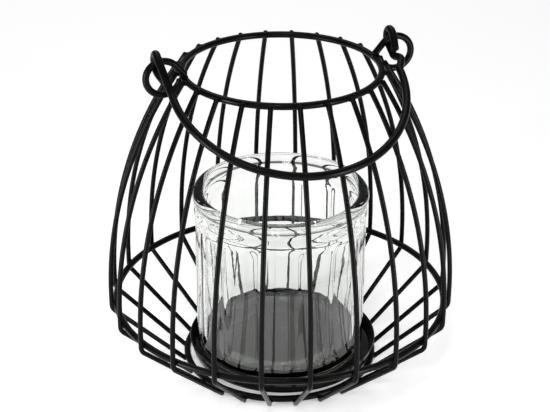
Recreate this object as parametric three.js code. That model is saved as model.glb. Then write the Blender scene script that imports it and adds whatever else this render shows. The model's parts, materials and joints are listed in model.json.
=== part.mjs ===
// Wire-cage candle lantern with a lift-out pressed glass cup and a swinging bail handle.
// Millimetres, +Z up. X runs through the two eyelets, and the handle hangs at the front, on the -Y side.
// The origin is on the surface that the lantern stands on, below the centre of the cage.
import * as THREE from "three";

// Wire and sheet gauges
const RIB_WIRE = 2.5;
const RING_WIRE = 3.5;
const EYELET_WIRE = 3.5;
const HANDLE_WIRE = 4;
const WELD_GAP = 0.3; // left between wires that are welded together

// Glass cup
const GLASS_RADIUS = 49.1;
const GLASS_HEIGHT = 103.4;
const GLASS_WALL = 4.6;
const GLASS_BASE = 8;
const GLASS_HEEL_RADIUS = 9;
const GLASS_FLOOR_RADIUS = 3; // inside corner between the wall and the floor
const GLASS_BEAD_RADIUS = 3.4;
const GLASS_BEAD_OVERHANG = 1.2;
const GLASS_SEAT_GAP = 0.3;

// Dish
const DISH_SHEET = 1;
const DISH_CLEARANCE = 2.8; // round the glass
const DISH_FLARE = 1.9; // from the foot of the wall to the rim
const DISH_DEPTH = 8.9;
const DISH_CORNER_RADIUS = 1.5;
const DISH_INSET = 2.1; // from the base ring's centre line to the foot of the dish's wall
const DISH_SHIFT = 1.7; // the dish is welded against the right side of the base ring

// Cage: the belly ring's radius is to the wire's centre, heights are above the base ring's centre
const BELLY_RING_RADIUS = 95.4;
const BELLY_RING_HEIGHT = 38.5;
const TOP_RING_HEIGHT = 177.7;
const MOUTH_CLEARANCE = 2.25; // round the glass's bead as it passes the top ring
const RIB_COUNT = 24;
const RIB_PHASE_DEG = 5.8; // from the line through the eyelets to the first rib
const RIB_TOP_OVERRUN = 0.8; // above the centre of the top ring
const RIB_TIP_OVERRUN = 1.5; // past the point that touches the base ring
const RIB_UPRIGHT_TOP = 6; // straight upright stretch, above the belly ring's centre
const RIB_UPRIGHT_BOTTOM = 0.5; // and below it, down to the bend
const RIB_BEND_RADIUS = 6;

// Eyelets and handle
const EYELET_RADIUS = 9.4; // to the wire's centre
const EYELET_STANDOFF = 2.6; // from the top ring's centre out to the round of the eyelet
const EYELET_RISE = 2.1; // the eyelet's centre above the centre of the top ring
const EYELET_STRAIGHT_DEG = 140; // round from outward, where the straight upper end leaves the loop
const HOOK_CLEARANCE = 0.4; // between the hook and the eyelet's wire, where it is tightest
const HOOK_TIP_LENGTH = 12;
const HOOK_TIP_INSET = 1.4; // how far the tip's end leans in towards the lantern
const HOOK_TIP_CLOSING = 2.2; // and back towards the leg
const HANDLE_SHIFT = -3.3; // the handle hangs to the left of its sideways play
const HANDLE_INSET = 2.7; // from the eyelet's centre in to the bow's widest place
const HANDLE_LEG_LENGTH = 24.4; // from the pivot line to the start of the bow
const HANDLE_BEND_TOP = 8.5; // below the pivot line, where the right leg bends back to the middle
const HANDLE_BEND_BOTTOM = 16.5; // and where it has reached the middle
const HANDLE_REST_GAP = 0.3; // between the resting handle and the ribs

// Facets
const WIRE_SIDES = 8;
const RING_SEGMENTS = 2 * RIB_COUNT;
const EYELET_SEGMENTS = 24;
const TURNED_SEGMENTS = 48;
const RIB_ARC_STEPS = 10;
const RIB_BEND_STEPS = 4;
const BOW_STEPS = 28;
const HOOK_STEPS = 8;
const CORNER_STEPS = 4;
const LEAN_HALVINGS = 20; // the handle's lean is found by halving its range this many times

// A wire's path through given points, with mitred joints.
class WirePath extends THREE.Curve {
  constructor(points) {
    super();
    this.points = points;
  }

  getPoint(t, target = new THREE.Vector3()) {
    const place = t * (this.points.length - 1);
    const index = Math.min(Math.floor(place), this.points.length - 2);
    return target.lerpVectors(this.points[index], this.points[index + 1], place - index);
  }

  getPointAt(u, target) {
    return this.getPoint(u, target);
  }

  getTangentAt(u, target = new THREE.Vector3()) {
    const last = this.points.length - 1;
    const index = Math.round(u * last);
    const here = this.points[index];
    const into = here.clone().sub(this.points[Math.max(index - 1, 0)]).normalize();
    const out = this.points[Math.min(index + 1, last)].clone().sub(here).normalize();
    return target.addVectors(into, out).normalize();
  }
}

function wireSection(diameter) {
  const corners = [];
  for (let i = 0; i < WIRE_SIDES; i++) {
    const angle = (i / WIRE_SIDES) * 2 * Math.PI;
    corners.push(new THREE.Vector2(Math.cos(angle), Math.sin(angle)).multiplyScalar(diameter / 2));
  }
  return new THREE.Shape(corners);
}

function wireGeometry(points, diameter) {
  return new THREE.ExtrudeGeometry(wireSection(diameter), {
    steps: points.length - 1,
    extrudePath: new WirePath(points),
  });
}

// Points on an arc in a plane, as [across, up] pairs, from one angle to another in radians.
function arcPoints(across, up, radius, from, to, steps) {
  const points = [];
  for (let i = 0; i <= steps; i++) {
    const angle = from + ((to - from) * i) / steps;
    points.push([across + radius * Math.cos(angle), up + radius * Math.sin(angle)]);
  }
  return points;
}

const wireSeat = (first, second) => (first + second) / 2 + WELD_GAP;
const RIB_TO_RING = wireSeat(RIB_WIRE, RING_WIRE);
const BEAD_OUTER_RADIUS = GLASS_RADIUS + GLASS_BEAD_OVERHANG;
const TOP_RING_RADIUS = BEAD_OUTER_RADIUS + MOUTH_CLEARANCE + RING_WIRE / 2;
const DISH_BASE_RADIUS = GLASS_RADIUS + DISH_CLEARANCE + DISH_SHEET;
const DISH_RIM_RADIUS = DISH_BASE_RADIUS + DISH_FLARE;
const BASE_RING_RADIUS = DISH_BASE_RADIUS + DISH_INSET;
const EYELET_REACH = EYELET_STANDOFF + EYELET_RADIUS;
const EYELET_X = TOP_RING_RADIUS + EYELET_REACH;
const HANDLE_BOW_RADIUS = EYELET_X - HANDLE_INSET;

// The handle turns about the eyelet's top wire, where the hook crosses it beside the eyelet's middle.
const PIVOT_RISE = Math.sqrt(EYELET_RADIUS ** 2 - HANDLE_SHIFT ** 2);

// The hook is wide enough to clear that wire on the side where it curves down.
function hookRadius() {
  const freeHole = EYELET_RADIUS - (EYELET_WIRE + HANDLE_WIRE) / 2 - HOOK_CLEARANCE;
  return PIVOT_RISE - Math.sqrt(freeHole ** 2 - HANDLE_SHIFT ** 2);
}

// The foot of the dish's wall rests on the base ring on the side that it is welded to.
function dishRise() {
  const seat = DISH_CORNER_RADIUS + RING_WIRE / 2 + WELD_GAP;
  const across = DISH_INSET + DISH_CORNER_RADIUS - DISH_SHIFT;
  return Math.sqrt(seat ** 2 - across ** 2) - DISH_CORNER_RADIUS;
}

// The rib's centre line in the plane through the cage's axis, as [radius, height] pairs above the
// base ring's centre: a long arc, a short upright, a bend, and a straight run under the base ring.
function ribProfile() {
  const topRadius = TOP_RING_RADIUS + RIB_TO_RING;
  const topHeight = TOP_RING_HEIGHT + RIB_TOP_OVERRUN;
  const bellyRadius = BELLY_RING_RADIUS + RIB_TO_RING;
  const arcFoot = BELLY_RING_HEIGHT + RIB_UPRIGHT_TOP;
  const rise = topHeight - arcFoot;
  const inset = bellyRadius - topRadius;
  const arcRadius = (rise ** 2 + inset ** 2) / (2 * inset);
  const arcEnd = Math.asin(rise / arcRadius);
  const arc = arcPoints(bellyRadius - arcRadius, arcFoot, arcRadius, arcEnd, 0, RIB_ARC_STEPS);

  // The lower run leaves the bend on a tangent and passes the base ring at RIB_TO_RING.
  const bendTop = BELLY_RING_HEIGHT - RIB_UPRIGHT_BOTTOM;
  const bendCentre = bellyRadius - RIB_BEND_RADIUS;
  const reach = Math.hypot(bendCentre - BASE_RING_RADIUS, bendTop);
  const slope = Math.atan2(bendTop, bendCentre - BASE_RING_RADIUS);
  const run = slope - Math.asin((RIB_BEND_RADIUS - RIB_TO_RING) / reach);
  const bend = arcPoints(bendCentre, bendTop, RIB_BEND_RADIUS, 0, run - Math.PI / 2, RIB_BEND_STEPS);
  const touch = [
    BASE_RING_RADIUS + RIB_TO_RING * Math.sin(run),
    -RIB_TO_RING * Math.cos(run),
  ];
  const tip = [
    touch[0] - RIB_TIP_OVERRUN * Math.cos(run),
    touch[1] - RIB_TIP_OVERRUN * Math.sin(run),
  ];
  const foot = tip[1] - (RIB_WIRE / 2) * Math.cos(run);
  return { points: [...arc, ...bend, tip], foot };
}

const rib = ribProfile();
const BASE_RING_Z = -rib.foot;
const BELLY_RING_Z = BASE_RING_Z + BELLY_RING_HEIGHT;
const TOP_RING_Z = BASE_RING_Z + TOP_RING_HEIGHT;
const EYELET_Z = TOP_RING_Z + EYELET_RISE;
const PIVOT_Z = EYELET_Z + PIVOT_RISE;
const DISH_Z = BASE_RING_Z + dishRise();
const GLASS_Z = DISH_Z + DISH_SHEET + GLASS_SEAT_GAP;

const FINISHES = {
  powderCoat: { color: 0x17171a, roughness: 0.45, metalness: 0.3 },
  glossPaint: { color: 0x141416, roughness: 0.25, metalness: 0.3 },
  clearGlass: { color: 0xdfe8e4, roughness: 0.05, metalness: 0, transparent: true, opacity: 0.35 },
};

const lantern = new THREE.Group();

function addMesh(name, geometry, finish) {
  const mesh = new THREE.Mesh(geometry, new THREE.MeshStandardMaterial(finish));
  mesh.name = name;
  lantern.add(mesh);
  return mesh;
}

// Ring corners are turned to meet the ribs, so that every rib passes a ring at the full radius.
function addRing(name, radius, height) {
  const geometry = new THREE.TorusGeometry(radius, RING_WIRE / 2, WIRE_SIDES, RING_SEGMENTS);
  const ring = addMesh(name, geometry, FINISHES.powderCoat);
  ring.position.z = height;
  ring.rotation.z = THREE.MathUtils.degToRad(RIB_PHASE_DEG);
}

function addRibs() {
  const points = rib.points.map(([radius, height]) => new THREE.Vector3(radius, 0, height));
  const geometry = wireGeometry(points, RIB_WIRE);
  for (let i = 0; i < RIB_COUNT; i++) {
    const mesh = addMesh("rib_" + String(i + 1).padStart(2, "0"), geometry, FINISHES.powderCoat);
    mesh.position.z = BASE_RING_Z;
    mesh.rotation.z = THREE.MathUtils.degToRad(RIB_PHASE_DEG) + (i / RIB_COUNT) * 2 * Math.PI;
  }
}

// An eyelet is a loop of wire with both ends welded to the top ring: the upper end runs straight down
// onto the ring, and the lower end meets the ring's side. Pairs are [outward, up] from its centre.
function eyeletPath() {
  const leaves = THREE.MathUtils.degToRad(EYELET_STRAIGHT_DEG);
  const along = [-Math.sin(leaves), Math.cos(leaves)];
  const bend = [EYELET_RADIUS * Math.cos(leaves), EYELET_RADIUS * Math.sin(leaves)];
  const toRing = (-EYELET_REACH - bend[0]) * along[0] + (-EYELET_RISE - bend[1]) * along[1];
  const straight = toRing - RING_WIRE / 2 - WELD_GAP;
  const upperEnd = [bend[0] + straight * along[0], bend[1] + straight * along[1]];

  // The lower end's outer edge stops WELD_GAP short of the ring.
  const ringDistance = Math.hypot(EYELET_REACH, EYELET_RISE);
  const ringAngle = -Math.PI + Math.atan2(EYELET_RISE, EYELET_REACH);
  const edge = EYELET_RADIUS + EYELET_WIRE / 2;
  const clear = RING_WIRE / 2 + WELD_GAP;
  const short = Math.acos((ringDistance ** 2 + edge ** 2 - clear ** 2) / (2 * ringDistance * edge));
  return [upperEnd, ...arcPoints(0, 0, EYELET_RADIUS, leaves, ringAngle + short, EYELET_SEGMENTS)];
}

function addEyelet(name, side) {
  const points = eyeletPath().map(([out, up]) => new THREE.Vector3(side * out, 0, up));
  const eyelet = addMesh(name, wireGeometry(points, EYELET_WIRE), FINISHES.powderCoat);
  eyelet.position.set(side * EYELET_X, 0, EYELET_Z);
}

// One half of the handle from its hook's tip to the bow's lowest point, hanging straight down from
// the pivot line. The hook wraps over the eyelet's top wire from one face of the eyelet to the other.
// The left leg runs straight to the bow. The right leg, which passes through its eyelet, has a bend.
function handleHalf(side) {
  const hook = arcPoints(0, 0, hookRadius(), 0, Math.PI, HOOK_STEPS);
  const near = hook.map(([across, up]) => new THREE.Vector3(side * EYELET_X, -side * across, up));
  const tip = near[0].clone();
  tip.add(new THREE.Vector3(-side * HOOK_TIP_INSET, side * HOOK_TIP_CLOSING, -HOOK_TIP_LENGTH));
  const bendTop = near[HOOK_STEPS].clone();
  bendTop.z = -HANDLE_BEND_TOP;
  const bendBottom = new THREE.Vector3(side * EYELET_X, 0, -HANDLE_BEND_BOTTOM);
  const bend = side > 0 ? [bendTop, bendBottom] : [];
  const bow = arcPoints(0, 0, HANDLE_BOW_RADIUS, 0, Math.PI / 2, BOW_STEPS / 2).map(
    ([across, drop]) => new THREE.Vector3(side * across, 0, -HANDLE_LEG_LENGTH - drop),
  );
  return [tip, ...near, ...bend, ...bow];
}

function handlePoints() {
  const left = handleHalf(-1);
  const right = handleHalf(1).reverse().slice(1);
  return [...left, ...right];
}

// A point of the hanging handle, placed with the handle leaning forward.
function leaned(point, lean) {
  const placed = point.clone().applyAxisAngle(new THREE.Vector3(1, 0, 0), -lean);
  return placed.add(new THREE.Vector3(HANDLE_SHIFT, 0, PIVOT_Z));
}

// The least distance from the leaning handle's bow to the surface that the ribs' centres lie on.
function bowToRibs(lean) {
  const bow = handlePoints().filter(({ z }) => z < -HANDLE_LEG_LENGTH);
  const stretch = new THREE.Line3();
  const closest = new THREE.Vector3();
  let least = Infinity;
  for (const point of bow) {
    const placed = leaned(point, lean);
    const flat = new THREE.Vector3(Math.hypot(placed.x, placed.y), placed.z - BASE_RING_Z, 0);
    for (let i = 1; i < rib.points.length; i++) {
      stretch.start.set(...rib.points[i - 1], 0);
      stretch.end.set(...rib.points[i], 0);
      stretch.closestPointToPoint(flat, true, closest);
      least = Math.min(least, closest.distanceTo(flat));
    }
  }
  return least;
}

// The handle leans forward from straight down until its bow rests on the ribs.
function restLean() {
  const wanted = (RIB_WIRE + HANDLE_WIRE) / 2 + HANDLE_REST_GAP;
  let touching = 0;
  let clear = Math.PI / 2;
  for (let i = 0; i < LEAN_HALVINGS; i++) {
    const middle = (touching + clear) / 2;
    if (bowToRibs(middle) < wanted) touching = middle;
    else clear = middle;
  }
  return clear;
}

function addHandle() {
  const geometry = wireGeometry(handlePoints(), HANDLE_WIRE);
  const handle = addMesh("handle", geometry, FINISHES.powderCoat);
  handle.position.set(HANDLE_SHIFT, 0, PIVOT_Z);
  handle.rotation.x = -restLean();
}

function turned(profile) {
  const outline = profile.map(([radius, height]) => new THREE.Vector2(radius, height));
  return new THREE.LatheGeometry(outline, TURNED_SEGMENTS).rotateX(Math.PI / 2);
}

function addDish() {
  const corner = DISH_CORNER_RADIUS;
  const wallLean = Math.atan2(DISH_RIM_RADIUS - DISH_BASE_RADIUS, DISH_DEPTH - corner);
  const inner = corner - DISH_SHEET;
  const centre = DISH_BASE_RADIUS - corner;
  const outside = arcPoints(centre, corner, corner, -Math.PI / 2, -wallLean, CORNER_STEPS);
  const inside = arcPoints(centre, corner, inner, -wallLean, -Math.PI / 2, CORNER_STEPS);
  const profile = [
    [0, 0],
    ...outside,
    [DISH_RIM_RADIUS, DISH_DEPTH],
    [DISH_RIM_RADIUS - DISH_SHEET, DISH_DEPTH],
    ...inside,
    [0, DISH_SHEET],
  ];
  const dish = addMesh("candle_dish", turned(profile), FINISHES.glossPaint);
  dish.position.set(DISH_SHIFT, 0, DISH_Z);
}

function addGlass() {
  const inner = GLASS_RADIUS - GLASS_WALL;
  const heel = GLASS_HEEL_RADIUS;
  const floorCorner = GLASS_FLOOR_RADIUS;
  const beadCentre = BEAD_OUTER_RADIUS - GLASS_BEAD_RADIUS;
  const beadHeight = GLASS_HEIGHT - GLASS_BEAD_RADIUS;
  const meetsWall = Math.acos((GLASS_RADIUS - beadCentre) / GLASS_BEAD_RADIUS);
  const meetsInside = Math.PI + Math.acos(Math.min(1, (beadCentre - inner) / GLASS_BEAD_RADIUS));
  const profile = [
    [0, 0],
    ...arcPoints(GLASS_RADIUS - heel, heel, heel, -Math.PI / 2, 0, CORNER_STEPS),
    ...arcPoints(beadCentre, beadHeight, GLASS_BEAD_RADIUS, -meetsWall, meetsInside, 2 * CORNER_STEPS),
    ...arcPoints(inner - floorCorner, GLASS_BASE + floorCorner, floorCorner, 0, -Math.PI / 2, CORNER_STEPS),
    [0, GLASS_BASE],
  ];
  const glass = addMesh("glass_cup", turned(profile), FINISHES.clearGlass);
  glass.position.z = GLASS_Z;
}

addRing("base_ring", BASE_RING_RADIUS, BASE_RING_Z);
addRing("belly_ring", BELLY_RING_RADIUS, BELLY_RING_Z);
addRing("top_ring", TOP_RING_RADIUS, TOP_RING_Z);
addRibs();
addEyelet("eyelet_left", -1);
addEyelet("eyelet_right", 1);
addHandle();
addDish();
addGlass();

export default lantern;
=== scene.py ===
"""Looks of a wire-cage candle lantern with a lift-out pressed glass cup and a swinging bail handle.

Metres, in the frame of the CAD part: +Z up, the eyelets on the X axis, and the handle resting at the
front, on the -Y side.
"""

import json
import math

import bmesh
import bpy
from mathutils import Matrix, Vector, noise

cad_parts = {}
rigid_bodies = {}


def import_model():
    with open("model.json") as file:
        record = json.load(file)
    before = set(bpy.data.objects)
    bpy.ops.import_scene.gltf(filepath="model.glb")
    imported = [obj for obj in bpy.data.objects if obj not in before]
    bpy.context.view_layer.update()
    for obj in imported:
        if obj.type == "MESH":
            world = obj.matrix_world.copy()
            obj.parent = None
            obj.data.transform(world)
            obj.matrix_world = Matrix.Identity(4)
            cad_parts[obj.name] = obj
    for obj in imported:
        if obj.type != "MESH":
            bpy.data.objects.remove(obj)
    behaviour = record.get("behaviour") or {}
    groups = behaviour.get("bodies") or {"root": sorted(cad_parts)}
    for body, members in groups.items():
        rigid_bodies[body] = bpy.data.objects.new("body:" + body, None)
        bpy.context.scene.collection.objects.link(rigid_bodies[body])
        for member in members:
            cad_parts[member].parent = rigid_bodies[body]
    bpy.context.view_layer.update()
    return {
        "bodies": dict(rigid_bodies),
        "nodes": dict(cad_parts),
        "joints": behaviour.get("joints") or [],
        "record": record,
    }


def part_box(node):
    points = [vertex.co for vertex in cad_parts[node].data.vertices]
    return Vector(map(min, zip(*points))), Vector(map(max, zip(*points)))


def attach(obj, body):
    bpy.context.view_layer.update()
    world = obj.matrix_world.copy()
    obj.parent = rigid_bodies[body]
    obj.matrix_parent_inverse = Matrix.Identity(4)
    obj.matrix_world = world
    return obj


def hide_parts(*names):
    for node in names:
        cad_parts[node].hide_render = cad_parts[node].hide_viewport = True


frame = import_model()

MM = 0.001

# Wire and sheet gauges, and the powder coat on the wire
RIB_WIRE = 2.5 * MM
RING_WIRE = 3.5 * MM
HANDLE_WIRE = 4.0 * MM
COAT = 0.15 * MM
DISH_SHEET = 1 * MM
WELD_SINK = 0.1 * MM  # a weld sinks one wire into the other

# Ribs
RIB_COUNT = 24
RIB_PHASE = math.radians(5.8)
RIB_TOP_OVERRUN = 1.2 * MM
RIB_TIP_OVERRUN = 1.5 * MM
RIB_UPRIGHT_TOP = 6 * MM
RIB_UPRIGHT_BOTTOM = 0.5 * MM
RIB_BEND_RADIUS = 6 * MM

# Eyelets and handle
EYELET_STRAIGHT_ANGLE = math.radians(140)  # from outward, where the straight upper end leaves the loop
EYELET_STRAIGHT = 7.2 * MM
EYELET_END_ANGLE = math.radians(-166)  # where the lower end meets the top ring
HOOK_CLEARANCE = 0.4 * MM
HOOK_TIP_LENGTH = 12 * MM
HOOK_TIP_INSET = 1.4 * MM  # how far the tip's end leans in towards the lantern
HOOK_TIP_CLOSING = 2.2 * MM  # and back towards the leg
HANDLE_INSET = 2.7 * MM
HANDLE_LEG_LENGTH = 24.4 * MM
HANDLE_BEND_TOP = 8.5 * MM  # below the pivot line, where the right leg bends back to the middle
HANDLE_BEND_BOTTOM = 16.5 * MM
HANDLE_BEND_SWELL = 0.6 * MM  # how far the bend's foot bulges outward

# Glass cup
GLASS_WALL = 4.6 * MM
GLASS_BASE = 8 * MM
GLASS_HEEL_RADIUS = 9 * MM
GLASS_FLOOR_RADIUS = 3 * MM
GLASS_BEAD_RADIUS = 3.4 * MM
GLASS_BEAD_OVERHANG = 1.2 * MM
GLASS_PUNT = 0.8 * MM  # hollow under the foot
PANEL_COUNT = 14
PANEL_PHASE = math.radians(-46)
PANEL_START = 9 * MM  # above the foot
PANEL_TOP = 86.5 * MM
PANEL_CORNER = 6 * MM  # how far the panel's top corners drop
PANEL_FADE = 3 * MM
PANEL_DEPTH = 0.4 * MM
COLLAR_BAND_LOW = 89.5 * MM
COLLAR_BAND_HIGH = 93.5 * MM
COLLAR_BAND_PROUD = 0.5 * MM
COLLAR_BAND_SOFT = 0.6 * MM  # half the width of the band's rounded steps
RIPPLE = 0.05 * MM  # of the pressed surface
RIPPLE_TURNS = 3.2  # how quickly the ripple changes round the cup
RIPPLE_LENGTH = 17 * MM  # and up it

# Dish
DISH_CORNER_RADIUS = 1.5 * MM
DISH_FLARE = 1.9 * MM
PAINTED_REFLECTION_RADIUS = 34 * MM  # of the lighter disc on the dish's floor, a painted reflection of the light from above
PAINTED_REFLECTION_FADE = 4 * MM

# Welds: a lump's half sizes round the cage, along the rib and out of it
RIB_WELD = (1.9 * MM, 1.5 * MM, 0.9 * MM)
EYELET_SIDE_WELD = (2.1 * MM, 2.6 * MM, 1.1 * MM)
EYELET_FOOT_WELD = (2.2 * MM, 1.4 * MM, 2.0 * MM)
EYELET_WELD_OUT = 0.2 * MM
WELD_UNEVENNESS = 0.16
WELD_GRAIN = 1.7

# Facets
WIRE_SIDES = 20
CAP_STEPS = 5
CAP_REACH = 0.25  # of a wire's domed end, in wire diameters
PANEL_COLUMNS = 24
TURNED_SEGMENTS = 192


def middle(node, axis):
    low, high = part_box(node)
    return (low[axis] + high[axis]) / 2


def half_width(node, axis):
    low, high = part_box(node)
    return (high[axis] - low[axis]) / 2


BASE_Z = middle("base_ring", 2)
BELLY_Z = middle("belly_ring", 2)
TOP_Z = middle("top_ring", 2)
BASE_RADIUS = half_width("base_ring", 0) - RING_WIRE / 2
BELLY_RADIUS = half_width("belly_ring", 0) - RING_WIRE / 2
TOP_RADIUS = half_width("top_ring", 0) - RING_WIRE / 2
EYELET_Z = middle("eyelet_right", 2)
EYELET_RADIUS = half_width("eyelet_right", 2) - RING_WIRE / 2
EYELET_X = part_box("eyelet_right")[1][0] - RING_WIRE / 2 - EYELET_RADIUS
HANDLE_SHIFT = middle("handle", 0)
SWING = next(joint for joint in frame["joints"] if joint["name"] == "handle_swing")
PIVOT_Z = SWING["pos_m"][2]


# Camera, floor and light. A light is its name, place, target, size and power.
CAMERA_YAW = math.radians(-18.5)
CAMERA_PITCH = 0.4626
CAMERA_ROLL = 0.0062
CAMERA_LENS = 93.0
CAMERA_SENSOR = 36.0
CAMERA_PLACE = Vector((-0.0032, -0.7237, 0.4550))  # from the base ring's centre, before the yaw
LAMPS = (
    ("softbox_top", (0.1, 0.8, 1.6), (0, 0, 0.1), (1.6, 1.6), 14),
    ("softbox_front", (-0.5, -1.0, 1.3), (0, 0, 0.1), (0.25, 0.6), 6),
    ("strip_left", (-0.42, -0.12, 0.13), (0, 0, 0.1), (0.03, 0.26), 1.5),
    ("strip_right", (0.22, -0.42, 0.13), (0, 0, 0.1), (0.025, 0.26), 1.4),
)
WORLD_STRENGTH = 0.17
FLOOR_REACH = 6
FLOOR_GREY = 0.9
FLOOR_GLOW = 0.38


def add_camera():
    data = bpy.data.cameras.new("camera")
    data.lens = CAMERA_LENS
    data.sensor_width = CAMERA_SENSOR
    camera = bpy.data.objects.new("camera", data)
    bpy.context.scene.collection.objects.link(camera)
    yaw = Matrix.Rotation(CAMERA_YAW, 4, "Z")
    place = yaw @ CAMERA_PLACE + Vector((0, 0, BASE_Z))
    tilt = Matrix.Rotation(math.pi / 2 - CAMERA_PITCH, 4, "X")
    roll = Matrix.Rotation(CAMERA_ROLL, 4, "Z")
    camera.matrix_world = Matrix.Translation(place) @ yaw @ tilt @ roll
    bpy.context.scene.camera = camera


def add_area_light(name, place, aim, size, power):
    data = bpy.data.lights.new(name, "AREA")
    data.shape = "RECTANGLE"
    data.size, data.size_y = size
    data.energy = power
    light = bpy.data.objects.new(name, data)
    bpy.context.scene.collection.objects.link(light)
    light.location = place
    light.rotation_euler = (Vector(aim) - Vector(place)).to_track_quat("-Z", "Y").to_euler()


def add_light():
    world = bpy.data.worlds.new("studio")
    world.use_nodes = True
    background = world.node_tree.nodes["Background"]
    background.inputs["Color"].default_value = (1.0, 1.0, 1.0, 1.0)
    background.inputs["Strength"].default_value = WORLD_STRENGTH
    bpy.context.scene.world = world
    for lamp in LAMPS:
        add_area_light(*lamp)
    bpy.context.scene.view_settings.view_transform = "Standard"


def add_floor():
    mesh = bpy.data.meshes.new("floor")
    bm = bmesh.new()
    bmesh.ops.create_grid(bm, x_segments=1, y_segments=1, size=FLOOR_REACH)
    bm.to_mesh(mesh)
    bm.free()
    floor = bpy.data.objects.new("floor", mesh)
    bpy.context.scene.collection.objects.link(floor)
    material, _, shader = new_material("floor_paper")
    shader.inputs["Base Color"].default_value = (FLOOR_GREY, FLOOR_GREY, FLOOR_GREY, 1)
    shader.inputs["Roughness"].default_value = 0.9
    shader.inputs["Specular IOR Level"].default_value = 0.1
    shader.inputs["Emission Color"].default_value = (1, 1, 1, 1)
    shader.inputs["Emission Strength"].default_value = FLOOR_GLOW
    mesh.materials.append(material)


# Materials. Colours are linear, and a noise's scale is in waves to the metre.
COAT_DARK = (0.0018, 0.0018, 0.0018)
COAT_LIGHT = (0.0042, 0.004, 0.0037)
ENAMEL_DARK = (0.005, 0.005, 0.005)
ENAMEL_LIGHT = (0.009, 0.009, 0.0085)
# Colours of the lighter disc on the dish's floor, a painted reflection of the light from above
PAINTED_REFLECTION_DARK = (0.022, 0.021, 0.0155)
PAINTED_REFLECTION_LIGHT = (0.034, 0.0325, 0.024)
GLASS_GREENER = (0.965, 0.975, 0.968)
GLASS_CLEARER = (0.99, 0.995, 0.99)
GLASS_ABSORBS = (0.58, 0.66, 0.55, 1)
NOISE_ROUGHNESS = 0.55


def new_material(name):
    material = bpy.data.materials.new(name)
    material.use_nodes = True
    return material, material.node_tree, material.node_tree.nodes["Principled BSDF"]


def add_noise(tree, scale, detail):
    coordinates = tree.nodes.new("ShaderNodeTexCoord")
    texture = tree.nodes.new("ShaderNodeTexNoise")
    texture.inputs["Scale"].default_value = scale
    texture.inputs["Detail"].default_value = detail
    texture.inputs["Roughness"].default_value = NOISE_ROUGHNESS
    tree.links.new(coordinates.outputs["Object"], texture.inputs["Vector"])
    return texture.outputs["Fac"]


def add_range(tree, value, low, high, to_low, to_high):
    spread = tree.nodes.new("ShaderNodeMapRange")
    spread.inputs["From Min"].default_value = low
    spread.inputs["From Max"].default_value = high
    spread.inputs["To Min"].default_value = to_low
    spread.inputs["To Max"].default_value = to_high
    tree.links.new(value, spread.inputs["Value"])
    return spread.outputs["Result"]


def add_mix(tree, factor, first, second):
    """Mixes two colours, each given as numbers or as another node's output."""
    mix = tree.nodes.new("ShaderNodeMix")
    mix.data_type = "RGBA"
    for name, colour in (("A", first), ("B", second)):
        if isinstance(colour, tuple):
            mix.inputs[name].default_value = (*colour, 1)
        else:
            tree.links.new(colour, mix.inputs[name])
    tree.links.new(factor, mix.inputs["Factor"])
    return mix.outputs["Result"]


def add_bump(tree, height, strength, distance, below=None):
    bump = tree.nodes.new("ShaderNodeBump")
    bump.inputs["Strength"].default_value = strength
    bump.inputs["Distance"].default_value = distance
    tree.links.new(height, bump.inputs["Height"])
    if below is not None:
        tree.links.new(below, bump.inputs["Normal"])
    return bump.outputs["Normal"]


def powder_coat():
    """Satin black powder coat: fine orange peel, cloudy sheen, a few rubbed specks."""
    material, tree, shader = new_material("powder_coat_black")
    cloud = add_noise(tree, 60, 4)
    specks = add_noise(tree, 900, 2)
    colour = add_mix(tree, add_range(tree, cloud, 0.35, 0.7, 0, 1), COAT_DARK, COAT_LIGHT)
    tree.links.new(colour, shader.inputs["Base Color"])
    tree.links.new(add_range(tree, cloud, 0.3, 0.7, 0.24, 0.36), shader.inputs["Roughness"])
    peel = add_bump(tree, add_noise(tree, 1400, 2), 0.25, 0.05 * MM)
    tree.links.new(add_bump(tree, specks, 0.15, 0.08 * MM, peel), shader.inputs["Normal"])
    shader.inputs["Specular IOR Level"].default_value = 0.08
    return material


def gloss_black():
    """Stove-enamelled sheet: glossy black, softly rippled, with a lighter disc in the middle of the floor
    that is a painted reflection of the light from above.
    """
    material, tree, shader = new_material("gloss_black_enamel")
    cloud = add_noise(tree, 45, 4)
    enamel = add_mix(tree, add_range(tree, cloud, 0.3, 0.7, 0, 1), ENAMEL_DARK, ENAMEL_LIGHT)
    # A lighter disc in the middle of the floor: a painted reflection of the light the gloss floor catches
    # from above
    painted_reflection = add_mix(tree, add_noise(tree, 25, 5), PAINTED_REFLECTION_DARK, PAINTED_REFLECTION_LIGHT)
    place = tree.nodes.new("ShaderNodeTexCoord")
    flat = tree.nodes.new("ShaderNodeVectorMath")
    flat.operation = "MULTIPLY"
    flat.inputs[1].default_value = (1, 1, 0)
    tree.links.new(place.outputs["Object"], flat.inputs[0])
    reach = tree.nodes.new("ShaderNodeVectorMath")
    reach.operation = "LENGTH"
    tree.links.new(flat.outputs["Vector"], reach.inputs[0])
    painted_reflection_mask = add_range(tree, reach.outputs["Value"], PAINTED_REFLECTION_RADIUS, PAINTED_REFLECTION_RADIUS + PAINTED_REFLECTION_FADE, 1, 0)
    tree.links.new(add_mix(tree, painted_reflection_mask, enamel, painted_reflection), shader.inputs["Base Color"])
    tree.links.new(add_range(tree, cloud, 0.3, 0.7, 0.12, 0.24), shader.inputs["Roughness"])
    tree.links.new(add_bump(tree, add_noise(tree, 160, 2), 0.2, 0.1 * MM), shader.inputs["Normal"])
    shader.inputs["Specular IOR Level"].default_value = 0.25
    return material


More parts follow.
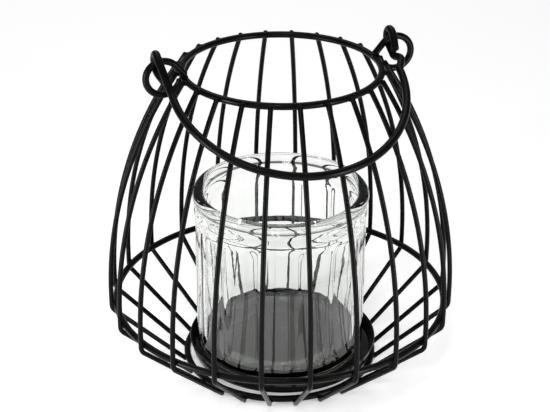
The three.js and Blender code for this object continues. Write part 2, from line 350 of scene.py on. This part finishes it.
def pressed_glass():
    """Clear pressed glass with a faint grey-green tint and the small ripples of a chilled mould."""
    material, tree, shader = new_material("pressed_glass")
    tint = add_mix(tree, add_noise(tree, 30, 2), GLASS_GREENER, GLASS_CLEARER)
    tree.links.new(tint, shader.inputs["Base Color"])
    haze = add_range(tree, add_noise(tree, 50, 3), 0.4, 0.8, 0.0, 0.02)
    tree.links.new(haze, shader.inputs["Roughness"])
    ripple = add_bump(tree, add_noise(tree, 110, 2), 0.3, 0.12 * MM)
    tree.links.new(ripple, shader.inputs["Normal"])
    shader.inputs["IOR"].default_value = 1.5
    shader.inputs["Transmission Weight"].default_value = 1.0
    absorption = tree.nodes.new("ShaderNodeVolumeAbsorption")
    absorption.inputs["Color"].default_value = GLASS_ABSORBS
    absorption.inputs["Density"].default_value = 14.0
    tree.links.new(absorption.outputs["Volume"], tree.nodes["Material Output"].inputs["Volume"])
    return material


POWDER_COAT = powder_coat()
GLOSS_BLACK = gloss_black()
PRESSED_GLASS = pressed_glass()


# Pieces
def add_piece(name, bm, material, body, nodes):
    bmesh.ops.recalc_face_normals(bm, faces=bm.faces)
    for face in bm.faces:
        face.smooth = True
    mesh = bpy.data.meshes.new(name)
    bm.to_mesh(mesh)
    bm.free()
    mesh.materials.append(material)
    piece = bpy.data.objects.new(name, mesh)
    bpy.context.scene.collection.objects.link(piece)
    if nodes:
        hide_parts(*nodes)
    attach(piece, body)
    return piece


def join_loops(bm, first, second):
    count = len(first)
    for i in range(count):
        bm.faces.new((first[i], first[(i + 1) % count], second[(i + 1) % count], second[i]))


def frames_along(points, closed):
    """The direction and a steady sideways pair at each point of a path."""
    count = len(points)
    frames = []
    side = None
    for i in range(count):
        before = points[(i - 1) % count] if closed else points[max(i - 1, 0)]
        after = points[(i + 1) % count] if closed else points[min(i + 1, count - 1)]
        along = (after - before).normalized()
        if side is None:
            side = along.orthogonal().normalized()
        side = (side - along * side.dot(along)).normalized()
        frames.append((along, side.copy(), along.cross(side)))
    return frames


def sweep(bm, points, diameter, closed=False):
    """A round wire along points. An open wire ends in domed caps, as a cut and coated wire does."""
    radius = diameter / 2 + COAT
    frames = frames_along(points, closed)

    def loop(centre, frame, scale):
        _, side, up = frame
        ring = []
        for i in range(WIRE_SIDES):
            angle = 2 * math.pi * i / WIRE_SIDES
            offset = side * math.cos(angle) + up * math.sin(angle)
            ring.append(bm.verts.new(centre + offset * radius * scale))
        return ring

    def dome(ring, centre, frame, sign):
        for step in range(1, CAP_STEPS):
            angle = math.pi / 2 * step / CAP_STEPS
            reach = frame[0] * sign * diameter * CAP_REACH * math.sin(angle)
            following = loop(centre + reach, frame, math.cos(angle))
            join_loops(bm, ring, following)
            ring = following
        pole = bm.verts.new(centre + frame[0] * sign * diameter * CAP_REACH)
        for i in range(WIRE_SIDES):
            bm.faces.new((ring[i], ring[(i + 1) % WIRE_SIDES], pole))

    loops = [loop(point, frame, 1) for point, frame in zip(points, frames)]
    for first, second in zip(loops, loops[1:]):
        join_loops(bm, first, second)
    if closed:
        join_loops(bm, loops[-1], loops[0])
    else:
        dome(loops[0], points[0], frames[0], -1)
        dome(loops[-1], points[-1], frames[-1], 1)


def arc(across, up, radius, start, end, steps):
    """Points on an arc as (across, up) pairs, from one angle to another."""
    angles = [start + (end - start) * i / steps for i in range(steps + 1)]
    return [(across + radius * math.cos(angle), up + radius * math.sin(angle)) for angle in angles]


def circle_path(radius, height, segments):
    angles = [2 * math.pi * i / segments for i in range(segments)]
    return [Vector((radius * math.cos(angle), radius * math.sin(angle), height)) for angle in angles]


RIB_SEAT = (RIB_WIRE + RING_WIRE) / 2 - WELD_SINK


def rib_profile():
    """The rib's centre line as (radius, height above the base ring's centre) pairs."""
    top_height = TOP_Z - BASE_Z + RIB_TOP_OVERRUN - CAP_REACH * RIB_WIRE
    belly_height = BELLY_Z - BASE_Z
    top_radius = TOP_RADIUS + RIB_SEAT
    belly_radius = BELLY_RADIUS + RIB_SEAT
    arc_foot = belly_height + RIB_UPRIGHT_TOP
    rise = top_height - arc_foot
    inset = belly_radius - top_radius
    arc_radius = (rise**2 + inset**2) / (2 * inset)
    long_arc = arc(belly_radius - arc_radius, arc_foot, arc_radius, math.asin(rise / arc_radius), 0, 40)
    bend_top = belly_height - RIB_UPRIGHT_BOTTOM
    bend_centre = belly_radius - RIB_BEND_RADIUS
    reach = math.hypot(bend_centre - BASE_RADIUS, bend_top)
    slope = math.atan2(bend_top, bend_centre - BASE_RADIUS)
    run = slope - math.asin((RIB_BEND_RADIUS - RIB_SEAT) / reach)
    bend = arc(bend_centre, bend_top, RIB_BEND_RADIUS, 0, run - math.pi / 2, 12)
    touch = (BASE_RADIUS + RIB_SEAT * math.sin(run), -RIB_SEAT * math.cos(run))
    overrun = RIB_TIP_OVERRUN - CAP_REACH * RIB_WIRE
    tip = (touch[0] - overrun * math.cos(run), touch[1] - overrun * math.sin(run))
    lower = bend[-1]
    straight = [*between(lower, tip, 6), tip]
    return long_arc + bend + straight, touch


def rib_angle(index):
    return RIB_PHASE + 2 * math.pi * index / RIB_COUNT


def add_rings():
    for name, radius, height in (
        ("base_ring", BASE_RADIUS, BASE_Z),
        ("belly_ring", BELLY_RADIUS, BELLY_Z),
        ("top_ring", TOP_RADIUS, TOP_Z),
    ):
        bm = bmesh.new()
        sweep(bm, circle_path(radius, height, TURNED_SEGMENTS), RING_WIRE, closed=True)
        add_piece(name + "_wire", bm, POWDER_COAT, "cage", [name])


def add_ribs():
    profile, _ = rib_profile()
    for i in range(RIB_COUNT):
        angle = rib_angle(i)
        out = Vector((math.cos(angle), math.sin(angle), 0))
        points = [out * radius + Vector((0, 0, BASE_Z + height)) for radius, height in profile]
        bm = bmesh.new()
        sweep(bm, points, RIB_WIRE)
        name = f"rib_{i + 1:02d}"
        add_piece(name + "_wire", bm, POWDER_COAT, "cage", [name])


def add_weld(bm, centre, along, across, size, seed):
    """A small lump of fused metal under the coat, flattened between two wires."""
    normal = along.cross(across).normalized()
    turn = Matrix((across, along, normal)).transposed().to_4x4()
    scale = Matrix.Diagonal((*size, 1))
    lump = bmesh.ops.create_icosphere(bm, subdivisions=3, radius=1)["verts"]
    for vert in lump:
        swell = 1 + WELD_UNEVENNESS * noise.noise(vert.co * WELD_GRAIN + Vector((seed, 0, 0)))
        vert.co = turn @ scale @ (vert.co * swell) + centre


def add_rib_welds():
    profile, touch = rib_profile()
    bm = bmesh.new()
    for i in range(RIB_COUNT):
        angle = rib_angle(i)
        out = Vector((math.cos(angle), math.sin(angle), 0))
        round_way = Vector((-math.sin(angle), math.cos(angle), 0))
        up = Vector((0, 0, 1))
        for j, (radius, height) in enumerate(((TOP_RADIUS, TOP_Z), (BELLY_RADIUS, BELLY_Z))):
            centre = out * (radius + RING_WIRE / 2) + up * height
            add_weld(bm, centre, up, round_way, RIB_WELD, 3.1 * i + 71 * j)
        lean = math.atan2(-touch[1], touch[0] - BASE_RADIUS)
        outward = out * math.cos(lean) - up * math.sin(lean)
        along = out * math.sin(lean) + up * math.cos(lean)
        centre = out * BASE_RADIUS + up * BASE_Z + outward * RING_WIRE / 2
        add_weld(bm, centre, along, round_way, RIB_WELD, 5.3 * i + 211)
    add_piece("rib_welds", bm, POWDER_COAT, "cage", [])


def eyelet_point(side, across, up):
    return Vector((side * (EYELET_X + across), 0, EYELET_Z + up))


def add_eyelets():
    """Each eyelet is a loop whose upper end runs straight onto the ring. The lower end meets its side."""
    for side, name in ((-1, "eyelet_left"), (1, "eyelet_right")):
        loop = arc(0, 0, EYELET_RADIUS, EYELET_STRAIGHT_ANGLE, EYELET_END_ANGLE, 72)
        start = loop[0]
        along = (-math.sin(EYELET_STRAIGHT_ANGLE), math.cos(EYELET_STRAIGHT_ANGLE))
        straight = [
            (start[0] + along[0] * EYELET_STRAIGHT * i / 6, start[1] + along[1] * EYELET_STRAIGHT * i / 6)
            for i in range(6, 0, -1)
        ]
        bm = bmesh.new()
        sweep(bm, [eyelet_point(side, *point) for point in straight + loop], RING_WIRE)
        up = Vector((0, 0, 1))
        round_way = Vector((0, 1, 0))
        inner = TOP_RADIUS + RING_WIRE / 2 - EYELET_X
        low = TOP_Z - EYELET_Z
        beside = eyelet_point(side, inner + EYELET_WELD_OUT, low)
        add_weld(bm, beside, up, round_way, EYELET_SIDE_WELD, 9 + side)
        end = straight[0]
        foot = ((end[0] + inner - RING_WIRE / 2) / 2, (end[1] + low) / 2)
        add_weld(bm, eyelet_point(side, *foot), up, round_way, EYELET_FOOT_WELD, 17 + side)
        add_piece(name + "_loop", bm, POWDER_COAT, "cage", [name])


def hermite(start, start_way, end, end_way, steps):
    points = []
    for i in range(1, steps):
        t = i / steps
        points.append(
            start * (2 * t**3 - 3 * t**2 + 1)
            + start_way * (t**3 - 2 * t**2 + t)
            + end * (3 * t**2 - 2 * t**3)
            + end_way * (t**3 - t**2)
        )
    return points


def handle_half(side):
    """From the hook's tip to the bow's lowest point, hanging straight down from the pivot line.

    The left leg runs straight to the bow. The right one, which passes through its eyelet, has an S-bend.
    """
    pivot_rise = math.sqrt(EYELET_RADIUS**2 - HANDLE_SHIFT**2)
    free_hole = EYELET_RADIUS - (RING_WIRE + HANDLE_WIRE) / 2 - HOOK_CLEARANCE
    hook_radius = pivot_rise - math.sqrt(free_hole**2 - HANDLE_SHIFT**2)
    bow_radius = EYELET_X - HANDLE_INSET
    hook = [
        Vector((side * EYELET_X, -side * across, up))
        for across, up in arc(0, 0, hook_radius, 0, math.pi, 24)
    ]
    down = Vector((0, 0, -1))
    tip_drop = HOOK_TIP_LENGTH - CAP_REACH * HANDLE_WIRE
    lean_in = Vector((-side * HOOK_TIP_INSET, side * HOOK_TIP_CLOSING, -tip_drop))
    tip_end = hook[0] + lean_in
    tip = [tip_end] + hermite(hook[0], down * HOOK_TIP_LENGTH, tip_end, lean_in, 12)[::-1]
    bow = [
        Vector((side * across, 0, -HANDLE_LEG_LENGTH - drop))
        for across, drop in arc(0, 0, bow_radius, 0, math.pi / 2, 60)
    ]
    if side < 0:
        leg = hermite(hook[-1], down * HANDLE_LEG_LENGTH, bow[0], down * HANDLE_LEG_LENGTH * 0.6, 24)
    else:
        bend_top = hook[-1] + down * HANDLE_BEND_TOP
        bend_bottom = Vector((side * (EYELET_X + HANDLE_BEND_SWELL), 0, -HANDLE_BEND_BOTTOM))
        bend = down * (HANDLE_BEND_BOTTOM - HANDLE_BEND_TOP)
        leg = hermite(hook[-1], down * HANDLE_BEND_TOP, bend_top, down * HANDLE_BEND_TOP, 8)
        leg += [bend_top] + hermite(bend_top, bend, bend_bottom, bend, 14)
        leg += [bend_bottom] + hermite(bend_bottom, bend * 0.7, bow[0], bend * 0.7, 8)
    return tip + hook + leg + bow


def rest_lean():
    """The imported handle's lean, from how far forward its bow's lowest point lies."""
    low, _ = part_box("handle")
    longest = HANDLE_LEG_LENGTH + EYELET_X - HANDLE_INSET
    drop = PIVOT_Z - low[2] - HANDLE_WIRE / 2
    return math.acos(min(1, drop / longest))


def add_handle():
    points = handle_half(-1) + handle_half(1)[::-1][1:]
    place = Matrix.Translation((HANDLE_SHIFT, 0, PIVOT_Z)) @ Matrix.Rotation(-rest_lean(), 4, "X")
    bm = bmesh.new()
    sweep(bm, [place @ point for point in points], HANDLE_WIRE)
    add_piece("handle_wire", bm, POWDER_COAT, "handle", ["handle"])


def turned(bm, profile, segments, centre, warp=None):
    """A closed turned shape from (radius, height) pairs that start and end on the axis."""
    bottom = bm.verts.new(centre + Vector((0, 0, profile[0][1])))
    top = bm.verts.new(centre + Vector((0, 0, profile[-1][1])))
    loops = []
    for index, (radius, height) in enumerate(profile[1:-1], start=1):
        ring = []
        for i in range(segments):
            angle = 2 * math.pi * i / segments
            place = (radius, height)
            if warp is not None:
                place = warp(index, radius, height, angle)
            spot = Vector((place[0] * math.cos(angle), place[0] * math.sin(angle), place[1]))
            ring.append(bm.verts.new(centre + spot))
        loops.append(ring)
    for first, second in zip(loops, loops[1:]):
        join_loops(bm, first, second)
    for i in range(segments):
        following = (i + 1) % segments
        bm.faces.new((loops[0][i], bottom, loops[0][following]))
        bm.faces.new((loops[-1][i], loops[-1][following], top))


def between(first, second, steps):
    return [
        (first[0] + (second[0] - first[0]) * i / steps, first[1] + (second[1] - first[1]) * i / steps)
        for i in range(1, steps)
    ]


def add_dish():
    low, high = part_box("candle_dish")
    centre = Vector((middle("candle_dish", 0), middle("candle_dish", 1), low[2]))
    depth = high[2] - low[2]
    rim_radius = half_width("candle_dish", 0)
    corner = DISH_CORNER_RADIUS
    base_radius = rim_radius - DISH_FLARE
    lean = math.atan2(DISH_FLARE, depth - corner)
    edge = DISH_SHEET / 2
    outside = arc(base_radius - corner, corner, corner, -math.pi / 2, -lean, 8)
    inside = arc(base_radius - corner, corner, corner - DISH_SHEET, -lean, -math.pi / 2, 6)
    rim = arc(rim_radius - edge, depth - edge, edge, -lean, math.pi - lean, 8)
    profile = [
        (0, 0),
        *between((0, 0), outside[0], 10),
        *outside,
        *between(outside[-1], rim[0], 5),
        *rim,
        *between(rim[-1], inside[0], 5),
        *inside,
        *between(inside[-1], (0, DISH_SHEET), 10),
        (0, DISH_SHEET),
    ]
    bm = bmesh.new()
    turned(bm, profile, TURNED_SEGMENTS, centre)
    add_piece("candle_dish_sheet", bm, GLOSS_BLACK, "cage", ["candle_dish"])


def smooth_step(low, high, value):
    t = min(1, max(0, (value - low) / (high - low)))
    return t * t * (3 - 2 * t)


def add_glass():
    low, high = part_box("glass_cup")
    centre = Vector((middle("glass_cup", 0), middle("glass_cup", 1), low[2]))
    height = high[2] - low[2]
    bead_outer = half_width("glass_cup", 0)
    outer = bead_outer - GLASS_BEAD_OVERHANG
    inner = outer - GLASS_WALL
    heel = GLASS_HEEL_RADIUS
    bead = GLASS_BEAD_RADIUS
    bead_centre = bead_outer - bead
    bead_height = height - bead
    meets_wall = math.acos((outer - bead_centre) / bead)
    meets_inside = math.pi + math.acos((bead_centre - inner) / bead)
    floor_corner = GLASS_FLOOR_RADIUS
    foot = (outer - heel, 0)
    heel_arc = arc(outer - heel, heel, heel, -math.pi / 2, 0, 12)
    bead_arc = arc(bead_centre, bead_height, bead, -meets_wall, meets_inside, 28)
    floor_arc = arc(inner - floor_corner, GLASS_BASE + floor_corner, floor_corner, 0, -math.pi / 2, 10)
    wall = between(heel_arc[-1], bead_arc[0], 70)
    inside = between(bead_arc[-1], floor_arc[0], 40)
    profile = [
        (0, GLASS_PUNT),
        *[(foot[0] * t / 10, GLASS_PUNT * (1 - smooth_step(0.72, 0.95, t / 10))) for t in range(1, 10)],
        *heel_arc,
        *wall,
        *bead_arc,
        *inside,
        *floor_arc,
        *between(floor_arc[-1], (0, GLASS_BASE), 12),
        (0, GLASS_BASE),
    ]
    outside_end = 10 + len(heel_arc) + len(wall)
    inside_start = outside_end + len(bead_arc)
    step = 2 * math.pi / PANEL_COUNT

    def warp(index, radius, level, angle):
        ripple = RIPPLE * noise.noise(
            Vector((math.cos(angle) * RIPPLE_TURNS, math.sin(angle) * RIPPLE_TURNS, level / RIPPLE_LENGTH))
        )
        if index < outside_end and index >= 10:
            place = ((angle - PANEL_PHASE) / step) % 1 * 2 - 1
            facet = PANEL_DEPTH * (1 - abs(place) ** 6)
            top = PANEL_TOP - PANEL_CORNER * abs(place) ** 6
            fade = 1 - smooth_step(top - PANEL_FADE / 2, top + PANEL_FADE / 2, level)
            start = smooth_step(PANEL_START, PANEL_START + 2 * PANEL_FADE, level)
            soft = COLLAR_BAND_SOFT
            band = smooth_step(COLLAR_BAND_LOW - soft, COLLAR_BAND_LOW + soft, level)
            band -= smooth_step(COLLAR_BAND_HIGH - soft, COLLAR_BAND_HIGH + soft, level)
            keep = 1 - smooth_step(bead_height - bead * 1.4, bead_height - bead, level)
            return radius - facet * fade * start + band * COLLAR_BAND_PROUD + ripple * start * keep, level
        if index >= inside_start and radius > inner - floor_corner:
            keep = 1 - smooth_step(bead_height - bead * 2, bead_height - bead, level)
            return radius + ripple * keep, level
        return radius, level

    bm = bmesh.new()
    turned(bm, profile, PANEL_COUNT * PANEL_COLUMNS, centre, warp)
    add_piece("glass_cup_pressed", bm, PRESSED_GLASS, "glass", ["glass_cup"])


add_camera()
add_light()
add_floor()
add_rings()
add_ribs()
add_rib_welds()
add_eyelets()
add_handle()
add_dish()
add_glass()

bpy.context.view_layer.update()
